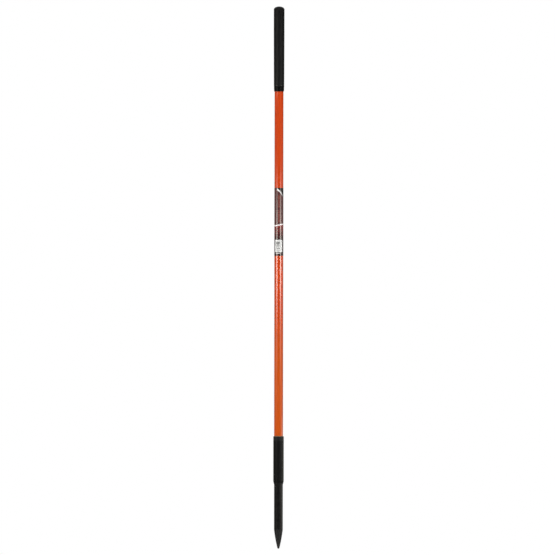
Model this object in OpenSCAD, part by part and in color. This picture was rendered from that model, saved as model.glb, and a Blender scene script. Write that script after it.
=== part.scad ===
// Driveway snow marker: a straight fibreglass tube with a closed grip on its top and a bonded steel spike at
// its foot. z = 0 is the ground line, at the lower end of the ferrule, and the spike runs down from there.
// Every sub-part is coaxial with Z, and the label and its sticker face -Y.

/* [Pole] */
// Length of the whole marker, from the spike's tip to the grip's crown
marker_h = 1524; // [1300:1:1900]
// Outside diameter of the pole tube
pole_d = 25; // [22:0.1:30]
// Wall thickness of the pole tube
pole_wall = 3; // [2.5:0.1:4]

/* [Grip] */
// Length of the grip, crown included
grip_h = 239; // [150:1:300]
// Wall thickness of the grip's upper, straight stretch
grip_wall = 2.55; // [2.2:0.05:4]
// Wall thickness just above the mouth lip
grip_low_wall = 1.95; // [1.6:0.05:2.2]
// Wall thickness at the mouth's edge
grip_mouth_wall = 1.35; // [1:0.05:1.5]
// Height of the straight stretch under the crown
grip_straight_h = 80; // [40:1:100]
// Height of the tapered lip around the mouth
grip_lip_h = 15; // [8:1:25]
// Height of the domed crown
grip_crown_h = 8.5; // [4:0.5:12]
// Thickness of the grip's closed end over the top plug
grip_roof_t = 5; // [3:0.5:7]

/* [Top plug] */
// Thickness of the flange that caps the tube's end
plug_flange_t = 2; // [1:0.1:4]
// Depth of the plug's shank in the tube
plug_depth = 24; // [15:1:40]
// Wall thickness of the hollow shank
plug_wall = 2.5; // [1.5:0.1:4]
// How much smaller the shank's radius is than the tube's bore between the ribs
plug_relief = 0.4; // [0.2:0.05:0.8]
// Number of gripping ribs around the shank
plug_ribs = 3; // [1:1:4]

/* [Label] */
// Height of the label's lower edge above the ground line
label_z = 641; // [300:1:700]
// Height of the wrapped label
label_h = 191; // [80:1:240]
// Thickness of the label film
label_t = 0.2; // [0.1:0.05:0.4]
// Height of the sticker
sticker_h = 34.9; // [25:0.1:50]
// Width of the sticker, measured around the label
sticker_w = 22.2; // [15:0.1:30]
// Gap between the label's lower edge and the sticker
sticker_gap = 10.2; // [2:0.1:20]
// How far the sticker is turned around the pole from the front
sticker_turn = -4; // [-20:1:20]
// Thickness of the sticker
sticker_t = 0.1; // [0.1:0.05:0.3]

/* [Ferrule] */
// Length of the ferrule
ferrule_h = 134; // [100:1:180]
// Wall thickness of the ferrule
ferrule_wall = 2.05; // [1.8:0.05:4]
// Height of the conical lower nose
ferrule_nose_h = 8; // [4:0.5:12]
// Wall left at the nose's edge
ferrule_edge = 0.35; // [0.3:0.05:0.8]
// Radius of the rounded upper edge
ferrule_round = 1.5; // [0.5:0.1:1.7]
// Thickness of the adhesive film between the ferrule and the pole
ferrule_glue = 0.2; // [0.1:0.05:0.4]

/* [Spike] */
// Length of the spike below the ground line
spike_h = 182; // [140:1:260]
// How much smaller the spike's shank is than the pole, on the diameter
shank_relief = 0.3; // [0.1:0.1:0.6]
// Length of the pencil point
point_h = 54; // [35:1:80]
// How far the point's flank bulges past a straight cone
point_bulge = 0.9; // [0:0.1:1.5]
// Radius of the blunt tip
tip_r = 3; // [1.5:0.1:4]
// Length of the tang inside the tube
tang_h = 110; // [60:1:150]
// Thickness of the adhesive around the tang
tang_glue = 0.3; // [0.2:0.05:0.5]
// Number of keying grooves around the tang
tang_grooves = 4; // [1:1:5]
// Number of keying grooves around the shank inside the ferrule, from the ground line up
shank_grooves = 3; // [1:1:4]
// Thickness of the foam dam above the tang
dam_h = 12; // [6:1:25]

/* [Hidden] */
$fn = 96;

tip_z = -spike_h;
crown_z = marker_h - spike_h;

// The tube's ends: the butt joint inside the ferrule, and the seat of the plug's flange.
joint_z = ferrule_h / 2;
butt_film = 0.5;
tube_low_z = joint_z + butt_film;
tube_top_z = crown_z - grip_roof_t - plug_flange_t;
pole_r = pole_d / 2;
bore_r = pole_r - pole_wall;

grip_r = pole_r + grip_wall;
mouth_z = crown_z - grip_h;
shoulder_z = crown_z - grip_crown_h;

plug_rib_h = 2.4;
plug_r = bore_r - plug_relief;
plug_pitch = (plug_depth - 4) / plug_ribs;

label_r = pole_r + label_t;
sticker_z = label_z + sticker_gap;
sticker_arc = sticker_w / label_r * 180 / PI;
sticker_corner = 2;

ferrule_bore_r = pole_r + ferrule_glue;
ferrule_r = ferrule_bore_r + ferrule_wall;

shank_r = pole_r - shank_relief / 2;
point_z = tip_z + point_h;
nose_end = 10;
tang_r = bore_r - tang_glue;
tang_top_z = joint_z + tang_h;
tang_chamfer = 3;
groove_depth = 0.6;
groove_h = 4;
tang_groove_z = joint_z + 12;
tang_groove_pitch = (tang_h - 20) / tang_grooves;
shank_groove_pitch = (joint_z - 5) / shank_grooves;
glue_pool_h = 4;
dam_z = tang_top_z + glue_pool_h;

// n steps along an arc about [x, y], from angle a0 to angle a1.
function arc(x, y, r, a0, a1, n = 8) =
    [for (i = [0:n]) let (a = a0 + (a1 - a0) * i / n) [x + r * cos(a), y + r * sin(a)]];

// Steps along the point's flank, from the nose to the shank: a cone with a parabolic bulge.
function flank(n = 16) =
    let (start = [tip_r * cos(nose_end), tip_z + tip_r - tip_r * sin(nose_end)],
         run = [shank_r, point_z] - start)
    [for (i = [0:n]) let (t = i / n) start + run * t + [4 * point_bulge * t * (1 - t), 0]];

// Quarter of an ellipse from the grip's shoulder to the middle of its crown.
function crown(n = 14) =
    [for (i = [0:n]) let (a = 90 * i / n) [grip_r * cos(a), shoulder_z + grip_crown_h * sin(a)]];

// A round bar between two heights.
module bar(r, z0, z1) {
    translate([0, 0, z0]) cylinder(r = r, h = z1 - z0);
}

// A round tube between two heights.
module tube(r_out, r_in, z0, z1) {
    rotate_extrude()
        translate([r_in, z0]) square([r_out - r_in, z1 - z0]);
}

module grip() {
    color([0.09, 0.09, 0.1])
    difference() {
        rotate_extrude()
            polygon(concat(
                [[0, mouth_z],
                 [pole_r + grip_mouth_wall, mouth_z],
                 [pole_r + grip_low_wall, mouth_z + grip_lip_h],
                 [grip_r, shoulder_z - grip_straight_h]],
                crown()));
        bar(pole_r, mouth_z - 1, crown_z - grip_roof_t);
    }
}

// A flanged stopper with gripping ribs, hollow from below.
module top_plug() {
    color([0.82, 0.82, 0.78])
    difference() {
        union() {
            bar(pole_r, tube_top_z, tube_top_z + plug_flange_t);
            bar(plug_r, tube_top_z - plug_depth, tube_top_z);
            for (i = [0:plug_ribs - 1])
                translate([0, 0, tube_top_z - plug_depth + 2 + i * plug_pitch])
                    cylinder(r1 = plug_r, r2 = bore_r, h = plug_rib_h);
        }
        bar(plug_r - plug_wall, tube_top_z - plug_depth - 1, tube_top_z - plug_wall);
    }
}

module pole_tube() {
    color([0.84, 0.3, 0.07])
    tube(pole_r, bore_r, tube_low_z, tube_top_z);
}

module label_wrap() {
    color([0.07, 0.06, 0.06])
    tube(label_r, pole_r, label_z, label_z + label_h);
}

// A patch of film with rounded corners, cut from a thin shell by an outline pushed through it along Y.
module barcode_sticker() {
    half = label_r * sin(sticker_arc / 2);
    color([0.93, 0.93, 0.91])
    rotate([0, 0, sticker_turn])
    intersection() {
        tube(label_r + sticker_t, label_r, sticker_z, sticker_z + sticker_h);
        rotate([90, 0, 0])
            linear_extrude(height = pole_d)
                for (side = [0, 1])
                    mirror([side, 0])
                        union() {
                            translate([0, sticker_z])
                                square([half - sticker_corner, sticker_h]);
                            translate([0, sticker_z + sticker_corner])
                                square([half, sticker_h - 2 * sticker_corner]);
                            for (z = [sticker_corner, sticker_h - sticker_corner])
                                translate([half - sticker_corner, sticker_z + z])
                                    circle(r = sticker_corner, $fn = 32);
                        }
    }
}

// A steel sleeve over the butt joint, rounded at its top and coned at its lower end.
module ferrule() {
    color([0.11, 0.11, 0.12])
    rotate_extrude()
        polygon(concat(
            [[ferrule_bore_r, 0],
             [ferrule_bore_r + ferrule_edge, 0],
             [ferrule_r, ferrule_nose_h]],
            arc(ferrule_r - ferrule_round, ferrule_h - ferrule_round, ferrule_round, 0, 90),
            [[ferrule_bore_r, ferrule_h]]));
}

// The film of adhesive that fills the ferrule around the spike, the joint and the tube.
module ferrule_adhesive() {
    color([0.5, 0.45, 0.32])
    difference() {
        bar(ferrule_bore_r, 0, ferrule_h);
        bar(pole_r, joint_z, ferrule_h + 1);
        ground_spike();
    }
}

// Rings around a shaft of radius r, which cut n keying grooves in it from height z up.
module groove_cutters(r, z, pitch, n) {
    for (i = [0:n - 1])
        tube(r + 1, r - groove_depth, z + i * pitch, z + i * pitch + groove_h);
}

// A solid steel bar: a pencil point, a straight shank, a square shoulder and a grooved tang. The shank's
// first groove starts at the ground line.
module ground_spike() {
    color([0.13, 0.13, 0.14])
    difference() {
        rotate_extrude()
            polygon(concat(
                [[0, tip_z]],
                arc(0, tip_z + tip_r, tip_r, -80, -nose_end),
                flank(),
                [[shank_r, joint_z],
                 [tang_r, joint_z],
                 [tang_r, tang_top_z - tang_chamfer],
                 [tang_r - tang_chamfer, tang_top_z],
                 [0, tang_top_z]]));
        groove_cutters(shank_r, 0, shank_groove_pitch, shank_grooves);
        groove_cutters(tang_r, tang_groove_z, tang_groove_pitch, tang_grooves);
    }
}

// Adhesive between the tang and the tube's bore, across the butt joint and in the pool above the tang.
module tang_adhesive() {
    color([0.66, 0.58, 0.38])
    difference() {
        union() {
            bar(pole_r, joint_z, tube_low_z);
            bar(bore_r, joint_z, dam_z);
        }
        ground_spike();
    }
}

module adhesive_dam() {
    color([0.75, 0.74, 0.66])
    bar(bore_r, dam_z, dam_z + dam_h);
}

grip();
top_plug();
pole_tube();
label_wrap();
barcode_sticker();
ferrule();
ferrule_adhesive();
ground_spike();
tang_adhesive();
adhesive_dam();
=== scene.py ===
import math

import bpy
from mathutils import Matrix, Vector, noise


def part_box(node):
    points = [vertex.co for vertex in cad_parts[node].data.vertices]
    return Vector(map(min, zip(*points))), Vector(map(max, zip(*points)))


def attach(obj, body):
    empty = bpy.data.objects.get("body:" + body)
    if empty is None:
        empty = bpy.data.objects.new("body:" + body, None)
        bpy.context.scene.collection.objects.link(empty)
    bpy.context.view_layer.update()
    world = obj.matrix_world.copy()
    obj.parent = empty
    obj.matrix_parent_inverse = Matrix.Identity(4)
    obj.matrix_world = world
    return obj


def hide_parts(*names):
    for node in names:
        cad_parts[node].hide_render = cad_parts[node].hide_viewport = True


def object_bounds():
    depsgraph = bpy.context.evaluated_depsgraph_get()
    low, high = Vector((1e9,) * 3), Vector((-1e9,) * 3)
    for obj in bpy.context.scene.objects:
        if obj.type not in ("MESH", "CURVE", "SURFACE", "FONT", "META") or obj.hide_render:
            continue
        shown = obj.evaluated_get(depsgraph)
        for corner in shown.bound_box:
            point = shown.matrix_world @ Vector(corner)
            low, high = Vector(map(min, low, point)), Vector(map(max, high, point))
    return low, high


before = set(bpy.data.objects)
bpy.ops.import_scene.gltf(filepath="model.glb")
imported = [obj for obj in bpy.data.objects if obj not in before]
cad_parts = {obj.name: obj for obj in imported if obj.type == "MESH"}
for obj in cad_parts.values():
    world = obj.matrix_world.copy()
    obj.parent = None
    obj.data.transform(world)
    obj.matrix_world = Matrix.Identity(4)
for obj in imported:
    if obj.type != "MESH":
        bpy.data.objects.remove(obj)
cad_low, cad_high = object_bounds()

MM = 0.001
TURN = 2 * math.pi


# ---------------------------------------------------------------------------------------------------------
# Sizes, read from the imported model
# ---------------------------------------------------------------------------------------------------------

def radius_of(node):
    """Outer radius of a node that is round about Z."""
    low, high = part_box(node)
    return max(high.x, -low.x, high.y, -low.y)


def ends_of(node):
    """Lowest and highest z of a node."""
    low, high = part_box(node)
    return low.z, high.z


MARKER_H = cad_high.z - cad_low.z
POLE_R = radius_of("pole_tube")
BORE_R = radius_of("adhesive_dam")
POLE_Z = ends_of("pole_tube")
GRIP_R = radius_of("grip")
GRIP_Z = ends_of("grip")
PLUG_TOP_Z = ends_of("top_plug")[1]
LABEL_R = radius_of("label_wrap")
LABEL_Z = ends_of("label_wrap")
STICKER_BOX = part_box("barcode_sticker")
FERRULE_R = radius_of("ferrule")
FERRULE_Z = ends_of("ferrule")
FERRULE_BORE_R = radius_of("ferrule_adhesive")
SHANK_R = radius_of("ground_spike")
SPIKE_Z = ends_of("ground_spike")
JOINT_Z = ends_of("tang_adhesive")[0]
TANG_GLUE = 0.3 * MM      # the adhesive between the tang and the bore
TANG_R = BORE_R - TANG_GLUE


# ---------------------------------------------------------------------------------------------------------
# Shader nodes
# ---------------------------------------------------------------------------------------------------------

def feed(tree, socket, value):
    """Sets a socket to a number or a tuple, or links it to a node's output. None leaves it alone."""
    if isinstance(value, bpy.types.NodeSocket):
        tree.links.new(value, socket)
    elif value is not None:
        socket.default_value = value


def add_node(tree, kind, *inputs, **settings):
    """A new shader node with its settings, and with its inputs fed in order."""
    made = tree.nodes.new("ShaderNode" + kind)
    for key, value in settings.items():
        setattr(made, key, value)
    for socket, value in zip(made.inputs, inputs):
        feed(tree, socket, value)
    return made


class Paint:
    """One material, and the few kinds of node that the recipes are written in. Sizes are in metres."""

    def __init__(self, name, **sockets):
        self.material = bpy.data.materials.new(name)
        self.material.use_nodes = True
        self.tree = self.material.node_tree
        self.shader = next(n for n in self.tree.nodes if n.type == "BSDF_PRINCIPLED")
        self.place = self.node("TexCoord").outputs["Object"]
        for socket, value in sockets.items():
            self.shade(socket.replace("_", " ").title().replace("Ior", "IOR"), value)

    def node(self, kind, *inputs, **settings):
        return add_node(self.tree, kind, *inputs, **settings)

    def named(self, kind, inputs, **settings):
        """A new node whose inputs are fed by name."""
        made = self.node(kind, **settings)
        for socket, value in inputs.items():
            feed(self.tree, made.inputs[socket], value)
        return made

    def shade(self, socket, value):
        """Feeds one of the shader's own sockets."""
        feed(self.tree, self.shader.inputs[socket], value)

    def maths(self, operation, a, b=None):
        return self.node("Math", a, b, operation=operation).outputs[0]

    def axis(self, letter, vector=None):
        split = self.node("SeparateXYZ", vector or self.place)
        return split.outputs[letter.upper()]

    def stretched(self, size):
        """Object coordinates in units of size, which is a number or one number for each axis."""
        sizes = size if isinstance(size, tuple) else (size, size, size)
        scaled = self.node("VectorMath", self.place, tuple(1 / s for s in sizes), operation="MULTIPLY")
        return scaled.outputs[0]

    def noise(self, size, detail=2.0, roughness=0.5, shift=0.0):
        moved = self.node("VectorMath", self.stretched(size), (shift, shift, shift), operation="ADD")
        inputs = {"Vector": moved.outputs[0], "Scale": 1.0, "Detail": detail, "Roughness": roughness}
        return self.named("TexNoise", inputs).outputs["Fac"]

    def cells(self, size, feature="F1"):
        inputs = {"Vector": self.stretched(size), "Scale": 1.0}
        return self.named("TexVoronoi", inputs, feature=feature).outputs["Distance"]

    def ramp(self, value, low, high, out_low=0.0, out_high=1.0):
        """value carried from low..high to out_low..out_high, and held there outside."""
        return self.node("MapRange", value, low, high, out_low, out_high).outputs["Result"]

    def both(self, a, b):
        return self.maths("MULTIPLY", a, b)

    def band(self, value, low, high, soft):
        """1 where value is between low and high, with soft edges."""
        above_low = self.ramp(value, low - soft, low + soft)
        below_high = self.ramp(value, high + soft, high - soft)
        return self.both(above_low, below_high)

    def repeat(self, value, pitch):
        """How far value is through each step of pitch, from 0 to 1."""
        return self.maths("FRACT", self.maths("DIVIDE", value, pitch))

    def blend(self, factor, first, second):
        """Colours or colour outputs mixed by a factor."""
        made = self.node("Mix", factor, data_type="RGBA")
        colours = [socket for socket in made.inputs if socket.type == "RGBA"]
        for socket, value in zip(colours, (first, second)):
            feed(self.tree, socket, (*value, 1) if isinstance(value, tuple) else value)
        return next(output for output in made.outputs if output.type == "RGBA")

    def colour(self, value):
        self.shade("Base Color", value)

    def rough(self, value):
        self.shade("Roughness", value)

    def bump(self, *layers):
        """Bump layers as (height output, depth in metres), each on top of the one before."""
        normal = None
        for height, depth in layers:
            inputs = {"Strength": 1.0, "Distance": depth, "Height": height, "Normal": normal}
            normal = self.named("Bump", inputs).outputs[0]
        self.shade("Normal", normal)


# ---------------------------------------------------------------------------------------------------------
# Camera, floor and lights
# ---------------------------------------------------------------------------------------------------------

FILL = 0.9771             # the marker's share of the picture's height
TOP_MARGIN = 0.0116       # the share that is left above its crown
RIGHT_SHIFT = 0.0023      # how far it stands to the right of the middle, as a share of the width
LEAN = math.radians(0.085)    # the camera's slight roll
CAMERA_AWAY = 4           # metres in front of the marker's axis

FLOOR_HALF = 12
FLOOR_GAP = 0.5 * MM      # between the floor and the spike's tip

ROOM_GLOW = 0.06          # the room's light, from every side
CEILING_GLOW = 0.4        # what gloss sees on top of that, overhead and underfoot
LAMP_COLOUR = (1, 0.97, 0.88)
PANEL_AWAY = 1.3          # metres from the marker's axis


def make_camera():
    """Looks straight along +Y with no perspective, as a long lens far off does."""
    data = bpy.data.cameras.new("camera")
    data.type = "ORTHO"
    side = MARKER_H / FILL
    data.ortho_scale = side
    data.clip_end = 50
    camera = bpy.data.objects.new("camera", data)
    bpy.context.scene.collection.objects.link(camera)
    camera.location = (-RIGHT_SHIFT * side, -CAMERA_AWAY, cad_high.z + (TOP_MARGIN - 0.5) * side)
    camera.rotation_euler = (math.pi / 2, -LEAN, 0)
    bpy.context.scene.camera = camera


def make_sheet(name, corners):
    """A flat four-sided object, for the floor and the panels."""
    mesh = bpy.data.meshes.new(name)
    mesh.from_pydata(corners, [], [(0, 1, 2, 3)])
    sheet = bpy.data.objects.new(name, mesh)
    bpy.context.scene.collection.objects.link(sheet)
    return sheet


def make_floor():
    """A wide pale floor just under the spike's tip. Gloss sees the room in its place."""
    z = cad_low.z - FLOOR_GAP
    floor = make_sheet("floor", [(x * FLOOR_HALF, y * FLOOR_HALF, z)
                                 for x, y in ((-1, -1), (1, -1), (1, 1), (-1, 1))])
    floor.visible_glossy = False
    paint = Paint("floor_paint", roughness=0.9, specular_ior_level=0.0)
    paint.colour(paint.blend(paint.noise(0.4, detail=3), (0.84, 0.84, 0.84), (0.88, 0.88, 0.88)))
    floor.data.materials.append(paint.material)


def make_world():
    """White for the camera, and a dim room for everything else. Gloss also sees a brighter floor and
    ceiling, which start 6 degrees from level and reach their full glow at 27 degrees."""
    world = bpy.data.worlds.new("studio")
    bpy.context.scene.world = world
    world.use_nodes = True
    tree = world.node_tree
    tree.nodes.clear()
    white = (1, 1, 1, 1)
    ray = add_node(tree, "LightPath").outputs
    direction = add_node(tree, "TexCoord").outputs["Generated"]
    z = add_node(tree, "SeparateXYZ", direction).outputs["Z"]
    steep = add_node(tree, "Math", z, operation="ABSOLUTE").outputs[0]
    more = add_node(tree, "MapRange", steep, 0.1, 0.45, 0.0, CEILING_GLOW).outputs["Result"]
    for_gloss = add_node(tree, "Math", more, ray["Is Glossy Ray"], operation="MULTIPLY").outputs[0]
    level = add_node(tree, "Math", for_gloss, ROOM_GLOW, operation="ADD").outputs[0]
    room = add_node(tree, "Background", white, level).outputs[0]
    backdrop = add_node(tree, "Background", white).outputs[0]
    mix = add_node(tree, "MixShader", ray["Is Camera Ray"], room, backdrop).outputs[0]
    add_node(tree, "OutputWorld", mix)
    bpy.context.scene.view_settings.view_transform = "Standard"


def around(azimuth, distance, z):
    """A point at that azimuth from the front (-Y), turning towards +X."""
    a = math.radians(azimuth)
    return Vector((distance * math.sin(a), -distance * math.cos(a), z))


def soft_sun(name, azimuth, elevation, spread, strength):
    """Broad even light from one direction, which brightens surfaces and isn't mirrored in them."""
    data = bpy.data.lights.new(name, "SUN")
    data.energy = strength
    data.angle = math.radians(spread)
    lamp = bpy.data.objects.new(name, data)
    bpy.context.scene.collection.objects.link(lamp)
    source = around(azimuth, math.cos(math.radians(elevation)), math.sin(math.radians(elevation)))
    lamp.rotation_euler = (-source).to_track_quat("-Z", "Y").to_euler()
    lamp.visible_glossy = False


def fill_ramp(ramp, stops):
    """Sets a colour ramp's stops from (position, rgb) pairs."""
    elements = ramp.color_ramp.elements
    while len(elements) > 1:
        elements.remove(elements[-1])
    for i, (position, rgb) in enumerate(stops):
        element = elements[0] if i == 0 else elements.new(position)
        element.position = position
        element.color = (*rgb, 1)


def softbox(name, azimuth, spread, stops, radiance):
    """A tall soft panel that shows only in reflections, and is spread degrees wide seen from the marker.
    stops are (z, glow) pairs up its height, with the glow from 0 to 1."""
    low, high = stops[0][0], stops[-1][0]
    a = math.radians(azimuth)
    half = Vector((math.cos(a), math.sin(a), 0)) * PANEL_AWAY * math.tan(math.radians(spread) / 2)
    centre = around(azimuth, PANEL_AWAY, 0)
    panel = make_sheet(name, [centre + half * side + Vector((0, 0, z))
                              for side, z in ((-1, low), (1, low), (1, high), (-1, high))])
    panel.visible_camera = False
    panel.visible_diffuse = False
    panel.visible_shadow = False
    material = bpy.data.materials.new(name)
    material.use_nodes = True
    tree = material.node_tree
    tree.nodes.clear()
    place = add_node(tree, "NewGeometry").outputs["Position"]
    height = add_node(tree, "SeparateXYZ", place).outputs["Z"]
    share = add_node(tree, "MapRange", height, low, high).outputs["Result"]
    ramp = add_node(tree, "ValToRGB", share)
    fill_ramp(ramp, [((z - low) / (high - low), tuple(glow * c for c in LAMP_COLOUR))
                     for z, glow in stops])
    lamp = add_node(tree, "Emission", ramp.outputs["Color"], radiance).outputs[0]
    add_node(tree, "OutputMaterial", lamp)
    panel.data.materials.append(material)


def make_lights():
    """Soft suns that light the surfaces, and tall panels that show in them as highlights."""
    soft_sun("overhead", 0, 89, 60, 2.3)
    soft_sun("front_fill", 0, 6, 50, 2.0)
    soft_sun("back_fill", 180, 6, 50, 1.7)
    soft_sun("left_fill", -90, 6, 50, 0.5)
    soft_sun("right_fill", 90, 6, 50, 0.5)

    # Heights in metres: the tip and the crown, and between them the places where the highlights turn.
    foot, top = cad_low.z, cad_high.z
    knee, middle, chest, head = 0.30, (top + foot) / 2, 0.66, 1.14
    streak = [(foot - 1.2, 0.09), (foot - 0.15, 0.09), (foot, 0.03), (knee - 0.15, 0.02), (knee, 0.08),
              (chest - 0.2, 0.25), (chest - 0.09, 0.85), (chest, 1.0), (chest + 0.09, 0.85),
              (chest + 0.16, 0.3), (chest + 0.24, 0.03), (head - 0.06, 0.02)]
    left_streak = streak + [(head, 0.4), (head + 0.06, 0.15), (top, 0.04)]
    right_streak = streak + [(head, 0.1), (top, 0.03)]
    left_edge = [(foot, 0.5), (knee - 0.15, 0.5), (chest, 1.0), (chest + 0.16, 1.0), (head - 0.06, 0.3),
                 (top, 0.15)]
    right_edge = [(foot, 1.0), (knee - 0.2, 0.85), (knee - 0.1, 0.25), (knee + 0.05, 0.15), (chest, 0.33),
                  (chest + 0.16, 0.21), (head - 0.06, 0.04), (top, 0.02)]
    behind = [(foot, 0.6), (middle, 1.0), (top, 0.6)]
    softbox("left_streak_box", -51, 33, left_streak, 10.5)
    softbox("right_streak_box", 46, 31, right_streak, 11.0)
    softbox("left_edge_box", -102, 50, left_edge, 0.5)
    softbox("right_edge_box", 88, 76, right_edge, 2.6)
    softbox("back_box", 180, 26, behind, 1.5)


# ---------------------------------------------------------------------------------------------------------
# Materials
# ---------------------------------------------------------------------------------------------------------

def fibreglass(low):
    """Pigmented pultrusion: long strands under a resin-rich gloss, with a faint veil and handling scuffs.
    The colour drifts a little from red-orange at the top to yellow-orange at the foot."""
    p = Paint("orange_fibreglass", coat_weight=0.9, coat_roughness=0.09, coat_ior=1.65,
              specular_ior_level=0.0)
    strands = p.noise((0.7 * MM, 0.7 * MM, 90 * MM), detail=3, roughness=0.6)
    rovings = p.noise((3.2 * MM, 3.2 * MM, 300 * MM), detail=2, shift=7.0)
    veil = p.cells((2.2 * MM, 2.2 * MM, 5 * MM), "DISTANCE_TO_EDGE")
    cloud = p.noise((16 * MM, 16 * MM, 60 * MM), detail=2, shift=3.0)
    red_above, yellow_below = low + 0.44, low + 0.28
    drift = p.ramp(p.axis("z"), red_above, yellow_below)
    pigment = p.blend(drift, (0.57, 0.044, 0.0020), (0.57, 0.078, 0.0025))
    light = p.blend(drift, (0.66, 0.058, 0.0030), (0.66, 0.096, 0.0035))
    base = p.blend(p.ramp(strands, 0.35, 0.65), pigment, light)
    base = p.blend(p.ramp(rovings, 0.45, 0.75, 0, 0.3), base, (0.72, 0.090, 0.006))
    base = p.blend(p.ramp(veil, 0.06, 0.0, 0, 0.12), base, (0.74, 0.115, 0.012))
    base = p.blend(p.ramp(cloud, 0.6, 0.8, 0, 0.18), base, (0.42, 0.045, 0.004))
    scratches = p.ramp(p.noise((0.5 * MM, 0.5 * MM, 9 * MM), detail=4, shift=11.0), 0.68, 0.76)
    handled = p.ramp(p.noise(22 * MM, detail=2, shift=5.0), 0.6, 0.75)
    scuff = p.both(scratches, handled)
    base = p.blend(p.both(scuff, 0.3), base, (0.78, 0.3, 0.12))
    p.colour(base)
    p.rough(p.maths("ADD", p.ramp(strands, 0.3, 0.7, 0.34, 0.44), p.both(scuff, 0.2)))
    p.bump((cloud, 0.05 * MM), (strands, 0.008 * MM))
    return p.material


def grip_rubber(low, high):
    """Black moulded rubber with a fine grain, rubbed on its crown and mouth, and darker on its lip."""
    p = Paint("grip_rubber", ior=1.45, specular_ior_level=0.25)
    grain = p.noise(0.35 * MM, detail=4, roughness=0.65)
    mottle = p.noise(9 * MM, detail=3, shift=2.0)
    flow = p.noise((5 * MM, 5 * MM, 45 * MM), detail=2, shift=9.0)
    base = p.blend(p.ramp(mottle, 0.3, 0.7), (0.0034, 0.0034, 0.0036), (0.0062, 0.0062, 0.0065))
    base = p.blend(p.ramp(grain, 0.55, 0.75, 0, 0.3), base, (0.014, 0.0138, 0.0135))
    z = p.axis("z")
    lip = p.ramp(z, low + 17 * MM, low + 14 * MM)
    base = p.blend(p.both(lip, 0.92), base, (0.0008, 0.0008, 0.0007))
    mouth = p.ramp(z, low + 2 * MM, low, 0, 0.7)
    crown = p.ramp(z, high - 7 * MM, high, 0, 0.8)
    ends = p.maths("MAXIMUM", mouth, crown)
    rubbed = p.both(ends, p.ramp(p.noise(2.5 * MM, detail=4, shift=4.0), 0.4, 0.65))
    p.colour(p.blend(p.both(rubbed, 0.5), base, (0.02, 0.02, 0.0205)))
    shine = p.maths("SUBTRACT", p.ramp(mottle, 0.3, 0.7, 0.33, 0.44), p.both(rubbed, 0.06))
    p.rough(p.maths("SUBTRACT", shine, p.both(lip, 0.17)))
    p.bump((flow, 0.1 * MM), (grain, 0.03 * MM))
    return p.material


def powder_coat(low, high):
    """Black powder coat with orange peel, a painted highlight round the top, worn to dark steel on the
    rims.
    """
    p = Paint("powder_coated_steel", ior=1.5, specular_ior_level=0.19)
    peel = p.noise(1.3 * MM, detail=1.5)
    speck = p.noise(0.25 * MM, detail=3, shift=6.0)
    mottle = p.noise(14 * MM, detail=3, shift=1.0)
    base = p.blend(p.ramp(mottle, 0.3, 0.7), (0.0016, 0.0016, 0.0017), (0.0034, 0.0034, 0.0036))
    z = p.axis("z")
    # Painted highlight: a lighter band, patchy with the mottle, is painted round the top as the sheen
    # there.
    painted_top_sheen = p.both(p.ramp(z, high - 15 * MM, high - 11 * MM), p.ramp(mottle, 0.25, 0.6, 0.4, 1.0))
    base = p.blend(painted_top_sheen, base, (0.013, 0.0128, 0.0122))
    low_rim = p.ramp(z, low + 2.2 * MM, low + 0.2 * MM)
    high_rim = p.ramp(z, high - 1.8 * MM, high - 0.2 * MM)
    rims = p.maths("MAXIMUM", low_rim, high_rim)
    chips = p.both(rims, p.ramp(p.noise(0.9 * MM, detail=5, roughness=0.7, shift=8.0), 0.5, 0.58))
    scratch = p.ramp(p.noise((0.5 * MM, 0.5 * MM, 12 * MM), detail=4, shift=13.0), 0.7, 0.75, 0, 0.5)
    worn = p.maths("MAXIMUM", chips, p.both(scratch, p.ramp(mottle, 0.5, 0.62)))
    p.colour(p.blend(worn, base, (0.09, 0.087, 0.083)))
    p.shade("Metallic", p.both(worn, 0.9))
    p.rough(p.maths("ADD", p.ramp(speck, 0.3, 0.7, 0.34, 0.46), p.both(worn, -0.05)))
    p.bump((peel, 0.05 * MM), (worn, -0.04 * MM))
    return p.material


def spike_steel(low, point_top):
    """Black painted bar: mill lines along it, a point painted lighter as a painted reflection of the
    floor under it, grinding rings on the point, and paint rubbed off, most of all near the tip."""
    p = Paint("black_painted_steel", ior=1.5, specular_ior_level=0.25)
    mill = p.noise((0.45 * MM, 0.45 * MM, 40 * MM), detail=3)
    rings = p.noise((30 * MM, 30 * MM, 0.5 * MM), detail=3, shift=5.0)
    mottle = p.noise(10 * MM, detail=4, shift=3.0)
    z = p.axis("z")
    on_point = p.ramp(z, point_top + 1 * MM, point_top - 1 * MM)
    base = p.blend(p.ramp(mottle, 0.3, 0.7), (0.0024, 0.0024, 0.0025), (0.0054, 0.0054, 0.0056))
    # Painted reflection: the point's colour is lifted towards grey to stand in for the floor mirrored in
    # it.
    base = p.blend(p.both(on_point, 0.5), base, (0.028, 0.0275, 0.0265))
    deep = p.ramp(z, point_top - 10 * MM, low, 0, 0.24)
    rub = p.maths("ADD", p.noise(1.6 * MM, detail=5, roughness=0.7, shift=8.0), deep)
    worn = p.ramp(rub, 0.7, 0.76)
    streak = p.ramp(p.noise((0.6 * MM, 0.6 * MM, 20 * MM), detail=4, shift=15.0), 0.68, 0.74, 0, 0.45)
    worn = p.maths("MAXIMUM", worn, streak)
    p.colour(p.blend(worn, base, (0.075, 0.073, 0.07)))
    p.shade("Metallic", p.both(worn, 0.85))
    p.rough(p.maths("ADD", p.ramp(mottle, 0.3, 0.7, 0.3, 0.42), p.both(worn, 0.05)))
    p.bump((p.both(rings, on_point), 0.04 * MM), (mill, 0.025 * MM), (worn, -0.03 * MM))
    return p.material


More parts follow.
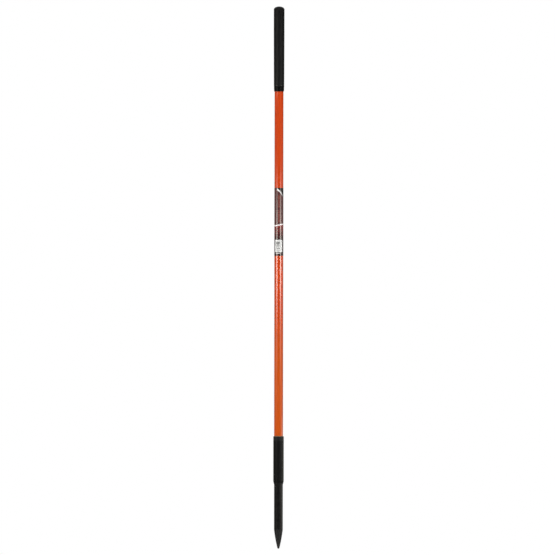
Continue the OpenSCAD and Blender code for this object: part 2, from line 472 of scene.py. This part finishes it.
def label_print(low, high):
    """Glossy wrapped print: dark fields, two sweeping white lines, plain blocks and rows of dashes. u is
    the distance round the label from its front, v the height, and down the distance from its top edge."""
    p = Paint("label_film", coat_weight=0.52, coat_roughness=0.1, coat_ior=1.65, specular_ior_level=0.1)
    wrap = p.node("UVMap", uv_map="wrap").outputs[0]
    u, v = p.axis("x", wrap), p.axis("y", wrap)
    down = p.maths("SUBTRACT", high, v)
    edge = 0.12 * MM

    # A large dark red disc, whose white rim sweeps down to the right from the top edge. Lower down the red
    # fills the label's whole width.
    disc_r, disc_left, disc_down = 52 * MM, 35.3 * MM, 45.9 * MM
    across = p.maths("ADD", u, disc_left)
    below = p.maths("SUBTRACT", down, disc_down)
    away = p.maths("SQRT", p.maths("ADD", p.both(across, across), p.both(below, below)))
    disc = p.ramp(away, disc_r + edge, disc_r - edge)
    inside = p.maths("MAXIMUM", disc, p.ramp(down, 30 * MM, 36 * MM))
    reach = p.both(p.ramp(down, 25 * MM, 17 * MM), p.band(u, -5.2 * MM, 12 * MM, 0.8 * MM))
    thick = p.ramp(u, -5 * MM, 9 * MM, 2.3 * MM, 1.2 * MM)
    off_rim = p.maths("SUBTRACT", p.maths("ABSOLUTE", p.maths("SUBTRACT", away, disc_r)), thick)
    rim = p.both(p.ramp(off_rim, edge, -edge), reach)
    art = p.blend(inside, (0.010, 0.007, 0.007), (0.092, 0.025, 0.025))
    art = p.blend(rim, art, (0.86, 0.84, 0.82))

    # A column of plain blocks up the middle, in two groups.
    row_pitch = 5.6 * MM
    rows = p.band(p.repeat(down, row_pitch), 0.12, 0.86, 0.03)
    block = p.both(p.band(u, -2.6 * MM, 3.4 * MM, edge), rows)
    for start, stop in ((20, 56), (63, 97)):
        blocks = p.both(p.band(down, start * MM, stop * MM, edge), block)
        art = p.blend(p.both(blocks, 0.9), art, (0.26, 0.075, 0.055))

    # The lower field: a second white line, then red-brown fading to black under rows of dashes.
    line_down, line_half, line_slope = 104.4 * MM, 1.9 * MM, 0.19
    rise = p.both(p.maths("SINE", p.maths("DIVIDE", u, LABEL_R)), line_slope * LABEL_R)
    under = p.maths("SUBTRACT", down, p.maths("SUBTRACT", line_down, rise))
    fade = p.ramp(under, 0.0, 40 * MM)
    field = p.blend(fade, (0.29, 0.042, 0.036), (0.036, 0.013, 0.013))
    art = p.blend(p.ramp(under, -edge, edge), art, field)
    rows = p.band(p.repeat(under, row_pitch), 0.3, 0.8, 0.04)
    dash = p.band(p.repeat(u, 3.1 * MM), 0.1, 0.85, 0.04)
    area = p.both(p.band(under, 4 * MM, 40 * MM, edge), p.band(u, -13 * MM, 12 * MM, edge))
    dashes = p.both(p.both(rows, dash), area)
    art = p.blend(p.both(dashes, 0.75), art, (0.012, 0.009, 0.009))
    art = p.blend(p.band(under, -line_half, line_half, edge), art, (0.86, 0.80, 0.79))
    foot_rule = p.band(v, low + 6.2 * MM, low + 7.8 * MM, edge)
    art = p.blend(p.both(foot_rule, p.band(u, -8.5 * MM, 2.4 * MM, edge)), art, (0.75, 0.74, 0.73))

    # Small print on the back, as plain grey dashes.
    back = p.maths("ABSOLUTE", u)
    lines = p.band(p.repeat(v, 3.0 * MM), 0.3, 0.62, 0.05)
    step = p.maths("ADD", p.maths("DIVIDE", back, 4.3 * MM), p.noise(3 * MM, shift=2.0))
    marks = p.band(p.maths("FRACT", step), 0.1, 0.8, 0.05)
    area = p.both(p.band(back, 24 * MM, 36 * MM, edge), p.band(v, low + 22 * MM, high - 60 * MM, edge))
    small_print = p.both(p.both(lines, marks), area)
    art = p.blend(p.both(small_print, 0.6), art, (0.42, 0.41, 0.40))

    # The cut edges are slightly frayed.
    cut = p.maths("MAXIMUM", p.ramp(v, low + 0.5 * MM, low), p.ramp(v, high - 0.5 * MM, high))
    rub = p.noise((0.8 * MM, 0.8 * MM, 6 * MM), detail=5, roughness=0.65, shift=4.0)
    art = p.blend(p.both(cut, p.ramp(rub, 0.45, 0.6)), art, (0.3, 0.29, 0.28))
    p.colour(art)
    p.rough(p.ramp(rub, 0.4, 0.75, 0.2, 0.42))
    p.bump((p.noise((18 * MM, 18 * MM, 30 * MM), detail=2, shift=6.0), 0.06 * MM), (rub, 0.004 * MM))
    return p.material


def sticker_paper(high):
    """White coated paper with a ladder of bars of mixed widths and a few plain grey rules. The bars are
    random and encode nothing."""
    p = Paint("sticker_paper", ior=1.45, specular_ior_level=0.3)
    wrap = p.node("UVMap", uv_map="wrap").outputs[0]
    u = p.axis("x", wrap)
    down = p.maths("SUBTRACT", high, p.axis("y", wrap))
    edge = 0.05 * MM
    fibre = p.noise(0.5 * MM, detail=4, roughness=0.6)
    tone = p.noise(7 * MM, detail=2, shift=3.0)
    art = p.blend(p.ramp(tone, 0.3, 0.7), (0.74, 0.74, 0.72), (0.82, 0.82, 0.80))
    art = p.blend(p.ramp(fibre, 0.5, 0.8, 0, 0.12), art, (0.6, 0.6, 0.58))

    # The bars lie across the pole, so that its curve doesn't squeeze them.
    thinnest = 0.33 * MM
    cell = p.maths("FLOOR", p.maths("DIVIDE", down, thinnest))
    chance = p.named("TexWhiteNoise", {"W": cell}, noise_dimensions="1D").outputs["Value"]
    white_share = p.ramp(down, 10.4 * MM, 10.5 * MM, 0.28, 0.46)
    area = p.both(p.band(down, 5 * MM, 25 * MM, edge), p.band(u, -6.2 * MM, 3.4 * MM, edge))
    bars = p.both(p.maths("GREATER_THAN", chance, white_share), area)
    art = p.blend(p.both(bars, 0.95), art, (0.012, 0.012, 0.014))
    for top, left, right, thick in ((27.3, -7, 5.5, 0.5), (29.3, -6, 3.5, 0.9), (32.0, -7, 4.5, 0.5)):
        line = p.band(down, top * MM, (top + thick) * MM, edge)
        rule = p.both(line, p.band(u, left * MM, right * MM, edge))
        art = p.blend(p.both(rule, 0.7), art, (0.16, 0.16, 0.16))
    p.colour(art)
    p.rough(p.ramp(fibre, 0.3, 0.7, 0.38, 0.5))
    p.bump((tone, 0.03 * MM), (fibre, 0.006 * MM))
    return p.material


def cured_adhesive():
    """Amber epoxy, slightly cloudy, with trapped bubbles."""
    p = Paint("cured_adhesive", ior=1.5)
    bubbles = p.cells(1.1 * MM)
    cloud = p.noise(4 * MM, detail=3)
    art = p.blend(p.ramp(cloud, 0.3, 0.7), (0.16, 0.11, 0.045), (0.30, 0.22, 0.10))
    p.colour(p.blend(p.ramp(bubbles, 0.22, 0.12, 0, 0.5), art, (0.42, 0.34, 0.2)))
    p.rough(p.ramp(cloud, 0.3, 0.7, 0.25, 0.4))
    p.bump((p.ramp(bubbles, 0.1, 0.25), 0.04 * MM))
    return p.material


def plug_plastic():
    """Natural polyethylene with a waxy mottle."""
    p = Paint("plug_plastic", ior=1.5)
    mottle = p.noise(3 * MM, detail=4)
    p.colour(p.blend(p.ramp(mottle, 0.3, 0.7), (0.55, 0.55, 0.49), (0.66, 0.66, 0.6)))
    p.rough(p.ramp(mottle, 0.3, 0.7, 0.42, 0.56))
    p.bump((p.noise(0.6 * MM, detail=3), 0.02 * MM))
    return p.material


def dam_foam():
    """Open-cell foam."""
    p = Paint("dam_foam", ior=1.4)
    pores = p.cells(0.9 * MM)
    p.colour(p.blend(p.ramp(pores, 0.2, 0.6), (0.22, 0.2, 0.15), (0.6, 0.57, 0.46)))
    p.rough(p.ramp(pores, 0.2, 0.6, 0.95, 0.8))
    p.bump((pores, 0.3 * MM))
    return p.material


# ---------------------------------------------------------------------------------------------------------
# Meshes
# ---------------------------------------------------------------------------------------------------------

SHARP = math.radians(35)      # edges that turn more than this stay sharp
SLICES = 160                  # flat faces round a turned piece


def finish_mesh(name, points, faces, uv=None):
    """An object from points and faces, smooth but for its sharp edges, and with the wrap UV map if uv is
    given."""
    mesh = bpy.data.meshes.new(name)
    mesh.from_pydata(points, [], faces)
    if uv:
        layer = mesh.uv_layers.new(name="wrap")
        for loop in mesh.loops:
            layer.data[loop.index].uv = uv[loop.vertex_index]
    mesh.shade_smooth()
    mesh.set_sharp_from_angle(angle=SHARP)
    mesh.update()
    made = bpy.data.objects.new(name, mesh)
    bpy.context.scene.collection.objects.link(made)
    return made


def arc(r, z, size, start, stop, steps=6):
    """Points along an arc of radius size about (r, z), with angles in degrees from +r towards +z."""
    angles = [math.radians(start + (stop - start) * i / steps) for i in range(steps + 1)]
    return [(r + size * math.cos(a), z + size * math.sin(a)) for a in angles]


def runs(points, step):
    """The same outline with its long stretches divided into lengths of about step."""
    out = [points[0]]
    for (r0, z0), (r1, z1) in zip(points, points[1:]):
        n = max(1, round(math.hypot(r1 - r0, z1 - z0) / step))
        out += [(r0 + (r1 - r0) * i / n, z0 + (z1 - z0) * i / n) for i in range(1, n + 1)]
    return out


def ripple(angle, waves, along):
    """Smooth noise that closes on itself round the axis. waves is how fast it changes with the angle."""
    return noise.noise(Vector((math.sin(angle) * waves, math.cos(angle) * waves, along)))


def revolve(name, outline, slices=SLICES, shape=None):
    """A solid of revolution. outline is a list of (radius, z), which starts and ends on the axis or is a
    closed loop off it. shape(r, z, angle) may change a point's radius. Angle 0 faces -Y and grows towards
    +X."""
    on_axis = outline[0][0] == 0
    ring_points = outline[1:-1] if on_axis else outline
    points, faces = [], []
    for r, z in ring_points:
        for k in range(slices):
            a = TURN * k / slices
            size = shape(r, z, a) if shape else r
            points.append((size * math.sin(a), -size * math.cos(a), z))
    rings = len(ring_points)
    pairs = [(i, i + 1) for i in range(rings - 1)]
    if not on_axis:
        pairs.append((rings - 1, 0))
    for i, j in pairs:
        for k in range(slices):
            m = (k + 1) % slices
            faces.append((i * slices + k, i * slices + m, j * slices + m, j * slices + k))
    if on_axis:
        first, last = len(points), len(points) + 1
        last_ring = (rings - 1) * slices
        points += [(0, 0, outline[0][1]), (0, 0, outline[-1][1])]
        for k in range(slices):
            m = (k + 1) % slices
            faces.append((first, m, k))
            faces.append((last, last_ring + k, last_ring + m))
    return finish_mesh(name, points, faces)


def sheet_solid(name, columns, rows, thick, place):
    """A closed thin sheet. columns are (u, low v, high v), rows is a count, and place(u, v, lift) gives a
    point. The wrap UV map holds u and v."""
    points, uv, faces = [], [], []
    for layer in (0, thick):
        for u, low, high in columns:
            for j in range(rows + 1):
                v = low + (high - low) * j / rows
                points.append(place(u, v, layer))
                uv.append((u, v))
    across, up = len(columns), rows + 1
    top = across * up
    for i in range(across - 1):
        for j in range(rows):
            a, b = i * up + j, (i + 1) * up + j
            faces.append((a, a + 1, b + 1, b))
            faces.append((top + a, top + b, top + b + 1, top + a + 1))
    rim = ([i * up for i in range(across)] + [(across - 1) * up + j for j in range(1, up)]
           + [i * up + rows for i in range(across - 2, -1, -1)] + [j for j in range(rows - 1, 0, -1)])
    for a, b in zip(rim, rim[1:] + rim[:1]):
        faces.append((a, b, top + b, top + a))
    return finish_mesh(name, points, faces, uv)


# ---------------------------------------------------------------------------------------------------------
# Pieces
# ---------------------------------------------------------------------------------------------------------

def dress(piece, material, node):
    """Gives a piece its material and puts it in the place of a CAD node."""
    piece.data.materials.append(material)
    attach(piece, "root")
    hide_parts(node)


def make_pole():
    """The tube, with slightly eased ends."""
    low, high = POLE_Z
    ease = 0.2 * MM
    outline = [(BORE_R, low), (POLE_R - ease, low), (POLE_R, low + ease), (POLE_R, high - ease),
               (POLE_R - ease, high), (BORE_R, high)]
    pole = revolve("pole_tube_fine", runs(outline, 60 * MM))
    dress(pole, fibreglass(low), "pole_tube")


def make_grip():
    """A closed sleeve: a domed crown with a vent dimple, a straight then tapering body with two faint
    mould lines, a shallow groove, and a tapered lip with a rounded edge."""
    low, high = GRIP_Z
    crown_h, straight_h, lip_h = 8.5 * MM, 80 * MM, 15 * MM
    mouth_wall, waist_wall = 1.35 * MM, 1.95 * MM
    mould_line_h, mould_line_w, sag = 0.09 * MM, 0.35 * MM, 0.05 * MM
    body_r = GRIP_R - mould_line_h
    waist_r = POLE_R + waist_wall
    shoulder = high - crown_h
    lip_top = low + lip_h

    dimple_r, dimple_h, brim = 2.6 * MM, 0.35 * MM, 0.3 * MM
    steps = 24
    quarter = [math.pi / 2 * i / steps for i in range(steps)]
    crown = [(body_r * math.cos(a), shoulder + crown_h * math.sin(a)) for a in quarter
             if body_r * math.cos(a) > dimple_r + brim]
    top = high - 0.12 * MM
    dimple_floor = top - dimple_h - 0.1 * MM
    dimple = [(dimple_r, top), (dimple_r - 0.5 * MM, top - dimple_h), (0.8 * MM, dimple_floor),
              (0, dimple_floor)]
    groove = [(waist_r - depth * MM, lip_top + rise * MM)
              for depth, rise in ((0.02, -0.9), (0.28, -0.45), (0.28, 0.15), (-0.02, 0.6))]
    edge = 0.55 * MM
    rim = arc(POLE_R + mouth_wall - edge, low + edge, edge, -90, 0)
    outline = ([(0, PLUG_TOP_Z), (POLE_R, PLUG_TOP_Z), (POLE_R, low)] + rim + groove
               + [(body_r, shoulder - straight_h)] + crown + dimple)

    def shape(r, z, angle):
        in_bore = r < POLE_R + 0.5 * MM
        if in_bore or z > shoulder:
            return r
        mould_line = sum(math.exp(-(math.remainder(angle - side, TURN) * r / mould_line_w) ** 2)
                         for side in (math.pi / 2, -math.pi / 2))
        return r + sag * (ripple(angle, 1.3, z * 45) - 0.6) + mould_line_h * mould_line

    grip = revolve("grip_sleeve", runs(outline, 3.5 * MM), slices=180, shape=shape)
    dress(grip, grip_rubber(low, high), "grip")


def make_ferrule():
    """A steel sleeve, softly rounded at its top and coned at its lower end."""
    low, high = FERRULE_Z
    nose_h, land, top_round, low_round = 8 * MM, 0.35 * MM, 1.5 * MM, 1.2 * MM
    slope = math.degrees(math.atan2(FERRULE_R - FERRULE_BORE_R - land, nose_h))
    outline = ([(FERRULE_BORE_R, low), (FERRULE_BORE_R + land * 0.7, low),
                (FERRULE_BORE_R + land, low + 0.3 * MM)]
               + arc(FERRULE_R - low_round, low + nose_h, low_round, -slope, 0, 4)
               + arc(FERRULE_R - top_round, high - top_round, top_round, 0, 80, 8)
               + [(FERRULE_BORE_R + 0.25 * MM, high), (FERRULE_BORE_R, high - 0.15 * MM)])
    ferrule = revolve("ferrule_sleeve", runs(outline, 4 * MM))
    dress(ferrule, powder_coat(low, high), "ferrule")


def make_bead():
    """The adhesive squeezed out in an uneven fillet where the pole enters the ferrule."""
    top = FERRULE_Z[1]
    width, height = 0.75 * MM, 0.8 * MM
    outline = [(POLE_R, top - 0.4 * MM), (POLE_R + width, top - 0.02 * MM),
               (POLE_R + width * 0.55, top + height * 0.3), (POLE_R + width * 0.2, top + height * 0.75),
               (POLE_R, top + height)]

    def shape(r, z, angle):
        swell = 0.75 + 0.5 * ripple(angle, 2.2, 3.0)
        return POLE_R + (r - POLE_R) * swell

    bead = revolve("adhesive_bead", outline, shape=shape)
    bead.data.materials.append(bpy.data.materials["cured_adhesive"])
    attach(bead, "root")


def make_spike():
    """The bar: a blunt nose, a ground pencil point with faint flats, a straight shank, the groove at the
    ground line and a plain tang. The other grooves are hidden and left out."""
    low, high = SPIKE_Z
    tip_r, point_h, bulge, chamfer = 3 * MM, 54 * MM, 0.9 * MM, 3 * MM
    groove_depth, groove_h = 0.6 * MM, 4 * MM
    flats, flat_depth, dent_depth = 11, 0.07 * MM, 0.04 * MM
    point_top = low + point_h
    nose = arc(0, low + tip_r, tip_r, -90, -10, 12)
    start, end = nose[-1], (SHANK_R, point_top)
    steps = 28
    flank = []
    for i in range(1, steps + 1):
        t = i / steps
        flank.append((start[0] + (end[0] - start[0]) * t + 4 * bulge * t * (1 - t),
                      start[1] + (end[1] - start[1]) * t))
    nose[0] = (0, low)
    groove = [(SHANK_R, 0), (SHANK_R - groove_depth, 0), (SHANK_R - groove_depth, groove_h),
              (SHANK_R, groove_h)]
    tang = [(SHANK_R, JOINT_Z), (TANG_R, JOINT_Z), (TANG_R, high - chamfer), (TANG_R - chamfer, high),
            (0, high)]
    outline = nose + flank + groove + tang

    def shape(r, z, angle):
        if z > point_top or r < 1 * MM:
            return r
        near = min(1.0, (point_top - z) / (8 * MM)) * min(1.0, r / (5 * MM))
        flat = 0.5 - 0.5 * math.cos(flats * angle + 1.3 * math.sin(z * 90))
        dent = abs(ripple(angle, 4 * r / SHANK_R, z * 300))
        return r - near * (flat_depth * flat + dent_depth * dent)

    spike = revolve("ground_spike_fine", runs(outline, 3 * MM), slices=176, shape=shape)
    dress(spike, spike_steel(low, point_top), "ground_spike")


def make_label():
    """A film wrapped once round the pole, its end lapped over its start at the back."""
    low, high = LABEL_Z
    thick, gap = 0.16 * MM, 0.01 * MM
    lap, ramp, off_centre = 6 * MM, 1.6 * MM, 4 * MM
    girth = TURN * LABEL_R
    start = -girth / 2 + off_centre
    stop = start + girth + lap
    steps = 220

    def place(u, v, lift):
        over = min(1.0, max(0.0, (u - (stop - lap - ramp)) / ramp))
        r = POLE_R + gap + over * (thick + gap) + lift
        a = u / LABEL_R
        return (r * math.sin(a), -r * math.cos(a), v)

    columns = [(start + (stop - start) * i / steps, low, high) for i in range(steps + 1)]
    label = sheet_solid("label_wrap_film", columns, 24, thick, place)
    dress(label, label_print(low, high), "label_wrap")


def make_sticker():
    """A patch with rounded corners, stuck on the label with one corner just lifting."""
    low, high = STICKER_BOX[0].z, STICKER_BOX[1].z
    turn = math.radians(-4)
    half, corner, thick = 11.1 * MM, 2 * MM, 0.1 * MM
    peel_reach, peel_h = 9 * MM, 0.3 * MM
    steps = 56

    def column(u):
        past = abs(u) - (half - corner)
        cut = corner - math.sqrt(max(0.0, corner ** 2 - past ** 2)) if past > 0 else 0
        return u, low + cut, high - cut

    def place(u, v, lift):
        from_corner = math.hypot(u - half, v - low) / peel_reach
        r = LABEL_R + peel_h * max(0.0, 1 - from_corner) ** 2 + lift
        a = turn + u / LABEL_R
        return (r * math.sin(a), -r * math.cos(a), v)

    # The columns crowd towards the rounded ends, and stop just short of them.
    reach = half * 0.999
    columns = [column(reach * math.sin(math.pi / 2 * (2 * i / steps - 1))) for i in range(steps + 1)]
    sticker = sheet_solid("barcode_sticker_patch", columns, 40, thick, place)
    dress(sticker, sticker_paper(high), "barcode_sticker")


def dress_hidden_nodes():
    """The pieces that stay as packed, inside the tube, the ferrule and the grip."""
    glue = cured_adhesive()
    finishes = {"ferrule_adhesive": glue, "tang_adhesive": glue, "top_plug": plug_plastic(),
                "adhesive_dam": dam_foam()}
    for node, material in finishes.items():
        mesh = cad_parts[node].data
        mesh.materials.clear()
        mesh.materials.append(material)


make_camera()
make_world()
make_floor()
make_lights()
dress_hidden_nodes()
make_pole()
make_grip()
make_label()
make_sticker()
make_ferrule()
make_bead()
make_spike()
